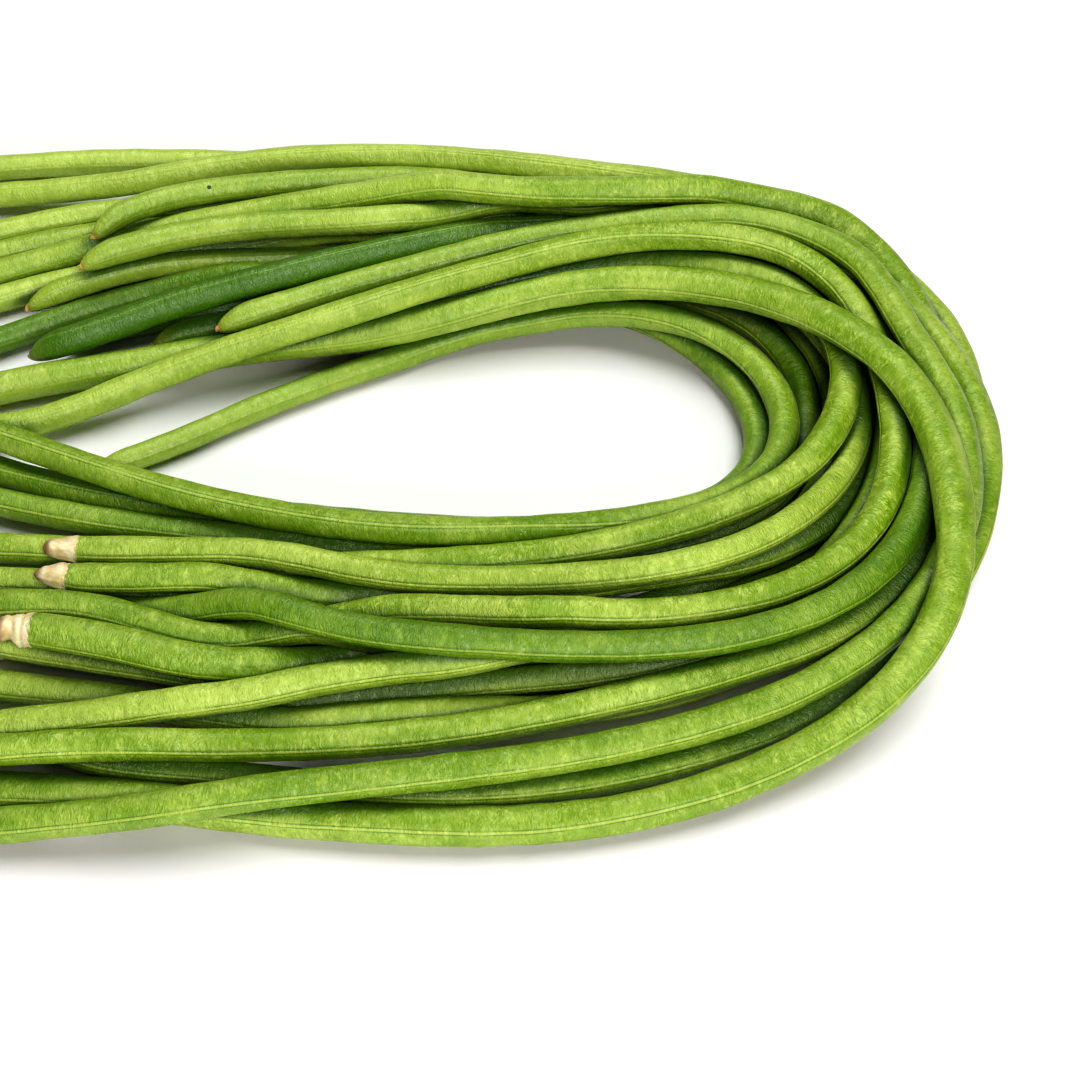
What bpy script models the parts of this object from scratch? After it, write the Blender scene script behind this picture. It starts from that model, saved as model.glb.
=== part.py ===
"""Yardlong bean bunch: very long, thin pods, doubled over together into a U and laid on a flat surface.

Each pod is one tube that tapers to a small nib, with a pale stump of stalk at its other end. Every route
runs from the stalk, along the near arm, round the bend on the right and back along the far arm to the nib.
"""
import math

import bmesh
import bpy
import numpy as np

# Driving sizes, in metres
BUNCH_NAME = "yardlong_bean_bunch"
SKIN_GAP = 0.00055        # kept between two neighbouring skins while the pods settle
STALK_LENGTH = 0.0072
JOINT_GAP = 0.0003        # between a pod's blunt end and its stalk
JOINT_SHARE = 0.94        # a pod's blunt end against the stalk's width
LAYER_HEIGHT = 0.0075     # one layer of pods, about a pod's diameter
LOWEST_AXIS = 0.004       # height of a pod's axis where it lies on the surface
POD_TAPER = 0.011         # length over which a pod narrows to its nib
POD_SHOULDER = 0.004      # length over which a pod rounds off at its stalk
# A pod's narrow end: distance from its very end as a share of POD_TAPER, and share of its full radius
TAPER_SHAPE = [(0.62, 0.90), (0.30, 0.64), (0.12, 0.24), (0.0, 0.0)]
# A stalk: distance from its free end as a share of STALK_LENGTH, and radius as a share of its width
STALK_SHAPE = [(0.0, 0.0), (0.06, 0.12), (0.20, 0.27), (0.36, 0.38), (0.52, 0.37), (0.76, 0.50), (1.0, 0.47)]
FLAT_DEPTH = 0.0006       # skin lower than this is pressed flat on the surface

# The routes were read from a raised viewpoint in front of the bunch
VIEW_ELEVATION = math.radians(55.0)
VIEW_DISTANCE = 0.494
VIEW_MIDDLE = 543.0       # image units, the middle of a picture 1086 units wide
VIEW_FOCAL = 2026.0       # image units, a field of view of 30 degrees
STALK_REACH = 31.0        # image units that a stalk adds before its pod's first route point

# Settling
STATION_STEP = 0.004      # distance between two stations of a pod's axis
ROUTE_DETAIL = 12         # curve points between two route points
ROUTE_SMOOTHING = 7       # passes over a route's places, and over its layers
LAYER_SMOOTHING = 12
SETTLING_ROUNDS = 320
PARTING_ROUNDS = 160      # at the end, neighbours only leave each other's skins
NEIGHBOUR_ROUNDS = 15     # rounds between two searches for neighbours
FALL_STEP = 0.00012       # in the first round, and less in each later one
REACH = 0.013             # axes further apart than this can't touch
TANGENT_ROUNDS = 5        # rounds between two readings of the pods' directions
MOST_SLIDE = 2            # stations that a nearest point may slide between two searches
LAYERS_APART = 0.35       # two pods whose layers differ by more than this keep their order
CROWDING = 0.6            # how much a station with many neighbours shares its pushes out
PUSH_SHARE = 1.5          # a push is overdone a little, since smoothing weakens it
PUSH_SPREAD = 4           # passes that spread a push along the pod, while settling and while parting
PARTING_SPREAD = 2
HOLD_HIDDEN = 0.02        # pull back to the sight line in a round, and what being seen adds to it
HOLD_SEEN = 0.18
STIFFNESS_SPREAD = 6      # passes for the pods' stiffness
SETTLING_STIFFNESS = (0.35, 0.3)   # share of a kink taken out in a round, in height and sideways
PARTING_STIFFNESS = (0.04, 0.06)

# Facets
SIDES_RESOLUTION = 2      # eight sides round a pod
HALF_SIDE = math.radians(22.5)   # turns a flat side down
CHORD_ERROR = 0.00018     # how far a facet may leave a bent pod's axis
LONGEST_FACET = 0.020
SHORTEST_FACET = 0.006
BEND_SMOOTHING = 4
STRAIGHTEST = 1e-6        # a bend, per metre, that counts as straight
POLE_RADIUS = 0.00002     # the closing ring of a tube, welded into one point
WELD_DISTANCE = 0.0001

SEEN = 1.0
HIDDEN = 0.0              # a stretch that other pods cover, free to move aside

LIME = (0.37, 0.54, 0.06)
LEAF = (0.29, 0.45, 0.05)
DEEP = (0.24, 0.43, 0.07)
STRAW = (0.70, 0.60, 0.32)
SKIN_ROUGHNESS = 0.42
STRAW_ROUGHNESS = 0.70

# Each route point: across, down (image units), layer, and whether the pod is seen there
PODS = [
    # The thickest pod, at the front of the near arm, climbs over the others on the bend
    dict(colour=LIME, stalk=0.0074, widths=(0.0089, 0.0090, 0.0086), route=[
        (-70, 792, 0, SEEN), (0, 791, 0, SEEN), (100, 796, 0, SEEN), (180, 807, 0, SEEN),
        (240, 814, 0, SEEN), (360, 822, 0, SEEN), (480, 826, 0, SEEN), (600, 819, 0, SEEN),
        (700, 797, 0, SEEN), (780, 765, 0.6, SEEN), (860, 720, 1.6, SEEN), (925, 650, 2.6, SEEN),
        (955, 550, 3.4, SEEN), (950, 470, 3.6, SEEN), (920, 395, 3.5, SEEN), (880, 350, 3.2, SEEN),
        (800, 308, 2.6, SEEN), (700, 287, 2, SEEN), (620, 283, 1.6, SEEN), (520, 298, 1.2, SEEN),
        (440, 316, 1, SEEN), (360, 336, 0.6, SEEN), (280, 345, 0, SEEN), (200, 355, 0, SEEN),
        (120, 365, 0, SEEN), (60, 376, 0, SEEN), (0, 388, 0, SEEN), (-75, 405, 0, SEEN)]),
    # Bright pod over the far arm, its nib end free on the left
    dict(colour=LIME, stalk=0.0065, widths=(0.0072, 0.0074, 0.0072), route=[
        (-50, 580, 0, SEEN), (0, 585, 0, SEEN), (100, 592, 0, HIDDEN), (200, 598, 0, HIDDEN),
        (320, 609, 0.2, HIDDEN), (400, 610, 0.4, SEEN), (500, 612, 0.7, SEEN), (560, 616, 0.9, SEEN),
        (620, 617, 1, SEEN), (680, 614, 1.2, SEEN), (740, 604, 1.4, SEEN), (800, 585, 1.6, SEEN),
        (850, 555, 1.8, SEEN), (880, 520, 2, SEEN), (898, 480, 2.2, SEEN), (902, 440, 2.2, SEEN),
        (895, 395, 2.2, SEEN), (886, 357, 2.2, HIDDEN), (870, 325, 2.3, SEEN), (850, 300, 2.4, SEEN),
        (830, 275, 2.5, SEEN), (800, 256, 2.6, SEEN), (760, 241, 2.7, SEEN), (720, 233, 2.7, SEEN),
        (680, 232, 2.6, SEEN), (640, 236, 2.5, SEEN), (600, 243, 2.4, SEEN), (520, 264, 2.2, SEEN),
        (440, 286, 2, SEEN), (360, 311, 1.8, SEEN), (280, 334, 1.6, SEEN), (200, 360, 1.3, SEEN),
        (160, 376, 1, SEEN), (120, 392, 0.7, SEEN), (80, 408, 0.4, SEEN), (40, 424, 0.1, SEEN),
        (0, 440, 0, HIDDEN), (-45, 456, 0, HIDDEN)]),
    # Lies high inside the bend, its nib in the middle of the far arm
    dict(colour=LEAF, stalk=0.0065, widths=(0.0073, 0.0076, 0.0072), route=[
        (-20, 548, 0, HIDDEN), (100, 553, 0, HIDDEN), (200, 558, 0, HIDDEN), (300, 562, 0, HIDDEN),
        (380, 564, 0.1, HIDDEN), (440, 562, 0.4, SEEN), (500, 559, 0.8, SEEN), (560, 552, 1.1, SEEN),
        (600, 545, 1.4, SEEN), (650, 534, 1.6, SEEN), (700, 520, 1.8, SEEN), (750, 500, 2, SEEN),
        (790, 480, 2.1, SEEN), (820, 457, 2.1, SEEN), (840, 430, 2, SEEN), (848, 400, 1.8, SEEN),
        (847, 370, 1.6, SEEN), (838, 330, 1.4, HIDDEN), (815, 297, 1.2, SEEN), (785, 281, 1.1, SEEN),
        (740, 267, 1, SEEN), (700, 261, 1, SEEN), (640, 263, 1, SEEN), (560, 275, 0.9, HIDDEN),
        (480, 292, 0.7, HIDDEN), (400, 306, 0.4, HIDDEN), (300, 316, 0.1, HIDDEN), (215, 322, 0, SEEN),
        (180, 328, 0, SEEN), (152, 339, 0, SEEN)]),
    # Crosses the front pod in the near arm and the outer bend
    dict(colour=LIME, stalk=0.0072, widths=(0.0079, 0.0080, 0.0069), route=[
        (-60, 830, 0, SEEN), (0, 826, 0.1, SEEN), (60, 821, 0.3, SEEN), (120, 813, 0.8, SEEN),
        (180, 804, 1.1, SEEN), (240, 794, 1.1, SEEN), (300, 787, 1, SEEN), (360, 781, 1, SEEN),
        (440, 773, 1, SEEN), (500, 766, 1, SEEN), (560, 757, 1, SEEN), (640, 742, 1, SEEN),
        (720, 722, 1.1, SEEN), (800, 692, 1.2, SEEN), (840, 670, 1.3, SEEN), (880, 640, 1.4, SEEN),
        (915, 600, 1.6, SEEN), (945, 550, 1.9, HIDDEN), (960, 500, 2.2, HIDDEN), (958, 440, 2.4, SEEN),
        (945, 400, 2.4, SEEN), (925, 365, 2.4, SEEN), (900, 335, 2.3, SEEN), (878, 305, 2.1, HIDDEN),
        (845, 272, 1.9, HIDDEN), (800, 245, 1.8, HIDDEN), (740, 229, 1.7, HIDDEN),
        (680, 224, 1.7, HIDDEN), (640, 223, 1.7, SEEN), (600, 228, 1.7, SEEN), (560, 234, 1.7, SEEN),
        (480, 250, 1.6, SEEN), (400, 272, 1.5, SEEN), (320, 297, 1.4, SEEN), (260, 312, 1.2, SEEN),
        (218, 325, 1, SEEN)]),
    # Outermost pod of the bend
    dict(colour=LEAF, stalk=0.0065, widths=(0.0070, 0.0073, 0.0072), route=[
        (-40, 738, 0, HIDDEN), (20, 750, 0, HIDDEN), (60, 757, 0, SEEN), (100, 761, 0, SEEN),
        (140, 766, 0, SEEN), (200, 774, 0, SEEN), (260, 778, 0, SEEN), (320, 785, 0, HIDDEN),
        (380, 793, 0, HIDDEN), (440, 797, 0, SEEN), (500, 793, 0, SEEN), (560, 787, 0, SEEN),
        (600, 780, 0, SEEN), (660, 768, 0, SEEN), (700, 758, 0, SEEN), (740, 745, 0, SEEN),
        (780, 730, 0, SEEN), (820, 710, 0, SEEN), (860, 682, 0, SEEN), (905, 645, 0, HIDDEN),
        (945, 600, 0, HIDDEN), (972, 550, 0, SEEN), (984, 490, 0, SEEN), (983, 440, 0.1, SEEN),
        (973, 400, 0.5, SEEN), (951, 360, 1, SEEN), (915, 323, 1.2, SEEN), (886, 298, 1.4, SEEN),
        (850, 268, 1.6, SEEN), (800, 240, 1.8, HIDDEN), (740, 220, 1.8, HIDDEN), (680, 212, 1.8, HIDDEN),
        (620, 211, 1.8, SEEN), (540, 211, 1.9, SEEN), (480, 216, 2, SEEN), (420, 221, 2, SEEN),
        (360, 221, 2, SEEN), (300, 224, 2, SEEN), (240, 229, 2, SEEN), (200, 234, 2, SEEN),
        (140, 243, 1.9, SEEN), (80, 262, 1.7, SEEN)]),
    # On top of the far arm where the bend ends
    dict(colour=LIME, stalk=0.0070, widths=(0.0074, 0.0080, 0.0074), route=[
        (-60, 744, 0.6, SEEN), (0, 743, 0.8, SEEN), (60, 742, 1, SEEN), (160, 745, 1, SEEN),
        (240, 747, 1, SEEN), (300, 746, 1, SEEN), (360, 742, 1, SEEN), (420, 737, 1, SEEN),
        (480, 728, 1, SEEN), (540, 716, 1, SEEN), (600, 702, 1, SEEN), (660, 688, 1, SEEN),
        (700, 677, 1, SEEN), (740, 664, 1, SEEN), (780, 650, 1, SEEN), (820, 632, 0.9, SEEN),
        (860, 612, 0.8, SEEN), (900, 580, 0.6, SEEN), (925, 550, 0.4, SEEN), (938, 510, 0.2, HIDDEN),
        (938, 460, 0, HIDDEN), (937, 410, 0.1, HIDDEN), (932, 355, 0.5, HIDDEN), (920, 314, 1, SEEN),
        (900, 286, 1.4, SEEN), (870, 259, 1.8, SEEN), (840, 238, 2.1, SEEN), (800, 220, 2.5, SEEN),
        (760, 207, 2.8, SEEN), (700, 196, 3, SEEN), (640, 190, 3, SEEN), (560, 191, 3, SEEN),
        (500, 193, 2.9, SEEN), (440, 197, 2.7, SEEN), (400, 199, 2.5, SEEN), (340, 203, 2, SEEN),
        (300, 207, 1.6, SEEN), (240, 216, 1, HIDDEN), (160, 238, 0.7, HIDDEN), (80, 255, 0.5, SEEN),
        (40, 266, 0.4, SEEN), (0, 275, 0.2, SEEN), (-70, 292, 0, SEEN)]),
    # Back edge of the far arm
    dict(colour=LEAF, stalk=0.0065, widths=(0.0074, 0.0072, 0.0069), route=[
        (-45, 684, 0, SEEN), (0, 687, 0, SEEN), (60, 691, 0, SEEN), (100, 696, 0, SEEN),
        (150, 705, 0, HIDDEN), (200, 714, 0, SEEN), (260, 716, 0, SEEN), (300, 714, 0, SEEN),
        (360, 713, 0, SEEN), (440, 709, 0, SEEN), (500, 704, 0, HIDDEN), (600, 697, 0, HIDDEN),
        (700, 680, 0, HIDDEN), (780, 652, 0, HIDDEN), (850, 610, 0, HIDDEN), (900, 565, 0, HIDDEN),
        (938, 500, 0, HIDDEN), (952, 450, 0, HIDDEN), (952, 400, 0, HIDDEN), (938, 350, 0, HIDDEN),
        (914, 312, 0, HIDDEN), (882, 280, 0, HIDDEN), (850, 256, 0, HIDDEN), (800, 231, 0.3, HIDDEN),
        (740, 209, 0.8, HIDDEN), (700, 196, 1.3, SEEN), (672, 187, 1.7, SEEN), (650, 182, 2, SEEN),
        (620, 178, 2, SEEN), (560, 171, 2, SEEN), (500, 165, 2, SEEN), (440, 160, 2, SEEN),
        (380, 156, 2, SEEN), (300, 158, 2, SEEN), (240, 162, 2, SEEN), (200, 169, 2, SEEN),
        (160, 180, 1.9, SEEN), (120, 187, 1.7, SEEN), (60, 190, 1.4, SEEN), (0, 195, 1.2, SEEN),
        (-50, 200, 1, SEEN)]),
    # Innermost pod, its nib end reaches back across the opening
    dict(colour=LIME, stalk=0.0065, widths=(0.0072, 0.0072, 0.0063), route=[
        (-60, 414, 1, SEEN), (0, 437, 1, SEEN), (60, 458, 1, SEEN), (120, 478, 1, SEEN),
        (180, 495, 1, SEEN), (240, 508, 1, SEEN), (300, 520, 1, SEEN), (360, 527, 1, SEEN),
        (420, 531, 1, SEEN), (480, 533, 1, SEEN), (540, 532, 1, SEEN), (600, 526, 1, SEEN),
        (660, 516, 1, SEEN), (715, 505, 1, SEEN), (750, 492, 1, HIDDEN), (777, 470, 1, SEEN),
        (790, 443, 1, SEEN), (788, 415, 1, SEEN), (776, 385, 1.1, SEEN), (752, 355, 1.2, SEEN),
        (720, 336, 1.2, SEEN), (680, 321, 1, SEEN), (640, 313, 0.7, SEEN), (600, 310, 0.4, SEEN),
        (540, 315, 0.1, HIDDEN), (480, 328, 0, SEEN), (440, 340, 0, SEEN), (400, 353, 0, SEEN),
        (360, 368, 0, SEEN), (320, 385, 0, SEEN), (280, 400, 0, SEEN), (240, 414, 0, SEEN),
        (200, 430, 0, SEEN), (160, 450, 0, SEEN), (125, 467, 0, SEEN), (95, 482, 0, HIDDEN)]),
    # Lies against the innermost pod
    dict(colour=LEAF, stalk=0.0065, widths=(0.0072, 0.0072, 0.0070), route=[
        (-45, 457, 0, SEEN), (0, 471, 0, SEEN), (60, 488, 0, SEEN), (120, 500, 0, SEEN),
        (180, 512, 0, SEEN), (240, 521, 0, HIDDEN), (320, 531, 0, HIDDEN), (420, 537, 0, HIDDEN),
        (500, 538, 0, HIDDEN), (600, 534, 0, HIDDEN), (660, 524, 0, HIDDEN), (715, 508, 0, HIDDEN),
        (745, 492, 0, SEEN), (760, 465, 0, SEEN), (761, 435, 0, SEEN), (751, 402, 0, SEEN),
        (731, 375, 0, SEEN), (702, 352, 0, SEEN), (670, 334, 0, HIDDEN), (630, 318, 0, HIDDEN),
        (580, 306, 0, HIDDEN), (520, 307, 0, HIDDEN), (440, 318, 0, HIDDEN), (400, 314, 0, HIDDEN),
        (340, 300, 0.1, HIDDEN), (280, 294, 0.2, HIDDEN), (200, 291, 0.2, HIDDEN), (160, 296, 0.2, SEEN),
        (120, 305, 0.2, SEEN), (80, 317, 0.1, SEEN), (40, 328, 0, SEEN), (0, 341, 0, SEEN),
        (-80, 366, 0, SEEN)]),
    # Inside the bend, low in both arms
    dict(colour=LEAF, stalk=0.0065, widths=(0.0073, 0.0072, 0.0070), route=[
        (-75, 482, 0, SEEN), (0, 504, 0, SEEN), (60, 515, 0, SEEN), (120, 523, 0, SEEN),
        (180, 530, 0, SEEN), (240, 537, 0, SEEN), (300, 545, 0, SEEN), (360, 551, 0, SEEN),
        (420, 555, 0, SEEN), (480, 556, 0, SEEN), (540, 557, 0, HIDDEN), (600, 556, 0, HIDDEN),
        (660, 548, 0, HIDDEN), (720, 530, 0, HIDDEN), (765, 507, 0, HIDDEN), (797, 475, 0, HIDDEN),
        (811, 440, 0, SEEN), (811, 405, 0, SEEN), (797, 365, 0, SEEN), (767, 332, 0, HIDDEN),
        (725, 305, 0, HIDDEN), (670, 290, 0, HIDDEN), (600, 285, 0, HIDDEN), (520, 290, 0, HIDDEN),
        (440, 300, 0, HIDDEN), (360, 304, 0, HIDDEN), (280, 306, 0, HIDDEN), (210, 302, 0, HIDDEN),
        (150, 306, 0, HIDDEN), (60, 330, 0, HIDDEN)]),
    # Upper one of the two stalks that end beside each other
    dict(colour=LIME, stalk=0.0069, widths=(0.0070, 0.0072, 0.0070), route=[
        (75, 549, 0.8, SEEN), (120, 551, 0.9, SEEN), (200, 558, 1, SEEN), (300, 569, 1, SEEN),
        (360, 575, 1, SEEN), (420, 580, 1, SEEN), (500, 582, 1, SEEN), (560, 581, 1, SEEN),
        (600, 577, 1, SEEN), (660, 568, 1, SEEN), (700, 560, 1, SEEN), (740, 548, 1, SEEN),
        (780, 532, 1, SEEN), (820, 505, 1, SEEN), (842, 478, 1, SEEN), (853, 450, 1, SEEN),
        (857, 420, 1, SEEN), (855, 385, 1, HIDDEN), (842, 345, 1, HIDDEN), (815, 312, 1, HIDDEN),
        (780, 288, 1, HIDDEN), (720, 264, 1, HIDDEN), (660, 250, 1, HIDDEN), (600, 246, 1, HIDDEN),
        (520, 248, 0.9, HIDDEN), (440, 250, 0.8, HIDDEN), (400, 244, 0.6, HIDDEN),
        (360, 240, 0.4, HIDDEN), (300, 242, 0.2, SEEN), (240, 248, 0.1, SEEN), (180, 253, 0.1, SEEN),
        (140, 261, 0.1, SEEN), (80, 277, 0.1, SEEN), (40, 290, 0, SEEN), (0, 301, 0, SEEN),
        (-60, 318, 0, SEEN)]),
    # Lower one of the two stalks that end beside each other
    dict(colour=LIME, stalk=0.0068, widths=(0.0074, 0.0072, 0.0062), route=[
        (65, 578, 0.9, SEEN), (120, 585, 0.9, SEEN), (180, 590, 0.9, SEEN), (240, 594, 0.8, SEEN),
        (300, 597, 0.6, SEEN), (360, 599, 0.4, SEEN), (420, 601, 0.2, HIDDEN), (500, 602, 0, HIDDEN),
        (600, 597, 0, HIDDEN), (660, 588, 0, HIDDEN), (700, 574, 0.1, SEEN), (760, 560, 0.2, SEEN),
        (800, 545, 0.2, SEEN), (830, 526, 0.2, SEEN), (855, 500, 0.1, SEEN), (868, 470, 0, SEEN),
        (873, 430, 0, SEEN), (872, 395, 0, SEEN), (862, 350, 0, HIDDEN), (835, 312, 0, HIDDEN),
        (795, 285, 0, HIDDEN), (740, 266, 0, HIDDEN), (680, 256, 0, HIDDEN), (600, 256, 0, HIDDEN),
        (520, 264, 0, HIDDEN), (440, 262, 0, HIDDEN), (400, 256, 0.1, HIDDEN), (350, 252, 0.3, SEEN),
        (300, 255, 0.4, SEEN), (240, 260, 0.4, SEEN), (200, 264, 0.4, SEEN), (140, 268, 0.4, SEEN),
        (100, 272, 0.4, SEEN), (60, 283, 0.3, SEEN), (30, 309, 0.2, SEEN)]),
    # Deeper green pod, over the near arm
    dict(colour=DEEP, stalk=0.0065, widths=(0.0074, 0.0076, 0.0076), route=[
        (-20, 604, 0, HIDDEN), (40, 601, 0, HIDDEN), (100, 603, 0, HIDDEN), (160, 607, 0.1, HIDDEN),
        (200, 611, 0.2, SEEN), (240, 615, 0.4, SEEN), (280, 619, 0.6, SEEN), (320, 624, 0.8, SEEN),
        (360, 628, 0.9, SEEN), (400, 633, 1, SEEN), (440, 640, 1.1, SEEN), (500, 645, 1.2, SEEN),
        (560, 648, 1.2, SEEN), (600, 648, 1.2, SEEN), (660, 646, 1.2, SEEN), (700, 643, 1.2, SEEN),
        (740, 636, 1.2, SEEN), (780, 626, 1.3, SEEN), (820, 611, 1.4, SEEN), (860, 588, 1.5, SEEN),
        (890, 560, 1.6, SEEN), (915, 525, 1.8, SEEN), (928, 485, 2, SEEN), (930, 440, 2.1, HIDDEN),
        (922, 395, 2.1, HIDDEN), (905, 355, 2, HIDDEN), (875, 318, 1.8, HIDDEN), (835, 283, 1.6, HIDDEN),
        (790, 258, 1.4, HIDDEN), (740, 244, 1.3, HIDDEN), (680, 235, 1.2, HIDDEN), (620, 224, 1.2, SEEN),
        (560, 226, 1.3, SEEN), (520, 229, 1.4, SEEN), (480, 233, 1.5, SEEN), (440, 238, 1.6, SEEN),
        (400, 247, 1.6, SEEN), (340, 262, 1.5, SEEN), (300, 269, 1.4, SEEN), (260, 278, 1.3, SEEN),
        (220, 289, 1.1, SEEN), (180, 303, 0.9, SEEN), (140, 316, 0.7, SEEN), (100, 327, 0.5, SEEN),
        (60, 339, 0.2, SEEN), (32, 350, 0, SEEN)]),
    # Its nib ends near the back of the far arm
    dict(colour=LIME, stalk=0.0065, widths=(0.0074, 0.0074, 0.0068), route=[
        (-35, 607, 0.2, SEEN), (0, 603, 0.2, SEEN), (60, 602, 0.2, SEEN), (100, 607, 0.2, SEEN),
        (160, 617, 0.3, SEEN), (200, 624, 0.4, SEEN), (240, 630, 0.5, SEEN), (300, 637, 0.5, SEEN),
        (360, 641, 0.4, SEEN), (400, 645, 0.3, SEEN), (450, 650, 0.2, SEEN), (500, 654, 0.1, SEEN),
        (560, 654, 0, HIDDEN), (640, 648, 0, HIDDEN), (700, 640, 0, HIDDEN), (780, 615, 0.2, HIDDEN),
        (840, 575, 0.5, HIDDEN), (880, 530, 0.8, HIDDEN), (905, 480, 1, HIDDEN), (912, 430, 1, HIDDEN),
        (908, 385, 1, HIDDEN), (890, 340, 1, HIDDEN), (855, 297, 1, HIDDEN), (810, 262, 1.1, HIDDEN),
        (750, 235, 1.3, HIDDEN), (680, 213, 1.6, HIDDEN), (600, 199, 1.9, HIDDEN),
        (520, 188, 2.1, HIDDEN), (460, 181, 2.2, SEEN), (420, 179, 2.2, SEEN), (360, 180, 2.2, SEEN),
        (300, 184, 2.2, SEEN), (240, 188, 2.1, SEEN), (200, 193, 2, SEEN), (160, 202, 1.8, SEEN),
        (120, 216, 1.5, SEEN), (92, 234, 1.3, SEEN)]),
    # Crosses the near arm from front to middle
    dict(colour=LIME, stalk=0.0070, widths=(0.0077, 0.0074, 0.0070), route=[
        (-70, 733, 0.6, SEEN), (0, 727, 1, SEEN), (60, 722, 1.3, SEEN), (100, 717, 1.4, SEEN),
        (150, 708, 1.5, SEEN), (200, 699, 1.5, SEEN), (260, 688, 1.3, SEEN), (300, 681, 1.1, SEEN),
        (340, 673, 0.8, SEEN), (400, 663, 0.5, SEEN), (440, 659, 0.3, SEEN), (480, 653, 0.1, HIDDEN),
        (560, 640, 0, HIDDEN), (640, 628, 0, HIDDEN), (700, 618, 0, HIDDEN), (770, 596, 0, HIDDEN),
        (830, 560, 0, HIDDEN), (870, 515, 0, HIDDEN), (893, 465, 0, HIDDEN), (898, 420, 0, HIDDEN),
        (890, 370, 0, HIDDEN), (865, 322, 0, HIDDEN), (825, 285, 0, HIDDEN), (770, 252, 0, HIDDEN),
        (700, 228, 0.1, HIDDEN), (620, 214, 0.3, HIDDEN), (540, 206, 0.5, HIDDEN),
        (460, 200, 0.7, HIDDEN), (380, 196, 0.9, HIDDEN), (300, 203, 1, SEEN), (240, 208, 1, SEEN),
        (200, 213, 0.9, SEEN), (140, 214, 0.8, SEEN), (100, 217, 0.6, SEEN), (60, 224, 0.4, SEEN),
        (0, 236, 0.1, SEEN), (-70, 250, 0, SEEN)]),
    # Short pod with the widest stalk
    dict(colour=LEAF, stalk=0.0082, widths=(0.0088, 0.0076, 0.0070), route=[
        (28, 630, 1.1, SEEN), (80, 636, 1.1, SEEN), (140, 643, 1.1, SEEN), (200, 650, 0.9, SEEN),
        (260, 655, 0.6, SEEN), (320, 658, 0.3, HIDDEN), (400, 652, 0, HIDDEN), (500, 634, 0, HIDDEN),
        (600, 622, 0, HIDDEN), (680, 604, 0, HIDDEN), (750, 576, 0, HIDDEN), (800, 540, 0, HIDDEN),
        (830, 495, 0, HIDDEN), (842, 445, 0, HIDDEN), (840, 400, 0, HIDDEN), (825, 355, 0, HIDDEN),
        (795, 315, 0, HIDDEN), (750, 283, 0, HIDDEN), (690, 256, 0, HIDDEN), (620, 238, 0, HIDDEN),
        (540, 228, 0, HIDDEN), (460, 222, 0, HIDDEN), (380, 222, 0, HIDDEN), (300, 226, 0, HIDDEN),
        (240, 226, 0.1, HIDDEN), (180, 228, 0.2, HIDDEN), (120, 232, 0.2, HIDDEN), (60, 240, 0.1, SEEN),
        (0, 253, 0, SEEN), (-60, 268, 0, SEEN)]),
    # Low in the near arm, at the very back of the far arm
    dict(colour=DEEP, stalk=0.0062, widths=(0.0066, 0.0074, 0.0069), route=[
        (0, 645, 0, HIDDEN), (50, 652, 0, HIDDEN), (100, 662, 0, SEEN), (160, 671, 0, SEEN),
        (220, 677, 0, SEEN), (280, 687, 0, HIDDEN), (340, 694, 0, SEEN), (400, 691, 0.1, SEEN),
        (440, 690, 0.1, SEEN), (480, 686, 0.1, SEEN), (540, 680, 0.1, SEEN), (600, 672, 0.1, SEEN),
        (650, 665, 0.1, SEEN), (720, 650, 0.2, HIDDEN), (790, 622, 0.4, HIDDEN), (850, 580, 0.7, HIDDEN),
        (890, 535, 0.9, HIDDEN), (915, 480, 1, HIDDEN), (922, 430, 1, HIDDEN), (916, 380, 1, HIDDEN),
        (896, 335, 1, HIDDEN), (862, 300, 1, HIDDEN), (820, 272, 1, HIDDEN), (770, 250, 1, HIDDEN),
        (710, 228, 0.7, HIDDEN), (640, 208, 0.4, HIDDEN), (560, 191, 0.2, HIDDEN), (460, 180, 0.2, HIDDEN),
        (360, 173, 0.2, HIDDEN), (260, 166, 0.3, HIDDEN), (180, 161, 0.4, SEEN), (120, 162, 0.4, SEEN),
        (60, 164, 0.4, SEEN), (0, 168, 0.3, SEEN), (-60, 173, 0.2, SEEN)]),
]

VIEWPOINT = VIEW_DISTANCE * np.array([0.0, -math.cos(VIEW_ELEVATION), math.sin(VIEW_ELEVATION)])
VIEW_AHEAD = np.array([0.0, math.cos(VIEW_ELEVATION), -math.sin(VIEW_ELEVATION)])
VIEW_UP = np.array([0.0, math.sin(VIEW_ELEVATION), math.cos(VIEW_ELEVATION)])
VIEW_RIGHT = np.array([1.0, 0.0, 0.0])


def sight_lines(image_points):
    """Unit vectors from the viewpoint through image points."""
    across = image_points[:, :1] - VIEW_MIDDLE
    down = image_points[:, 1:2] - VIEW_MIDDLE
    lines = VIEW_AHEAD * VIEW_FOCAL + across * VIEW_RIGHT - down * VIEW_UP
    return lines / np.linalg.norm(lines, axis=1, keepdims=True)


def on_sight_line(lines, heights):
    """The points at the given heights on lines from the viewpoint."""
    reach = (heights - VIEWPOINT[2]) / lines[:, 2]
    return VIEWPOINT + lines * reach[:, None]


def smoothed(rows, passes, weight=0.5):
    """Rows averaged with their neighbours a number of times, with both ends kept."""
    for _ in range(passes):
        middle = rows[1:-1] * (1 - weight) + (rows[:-2] + rows[2:]) * (weight / 2)
        rows = np.concatenate([rows[:1], middle, rows[-1:]])
    return rows


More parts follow.
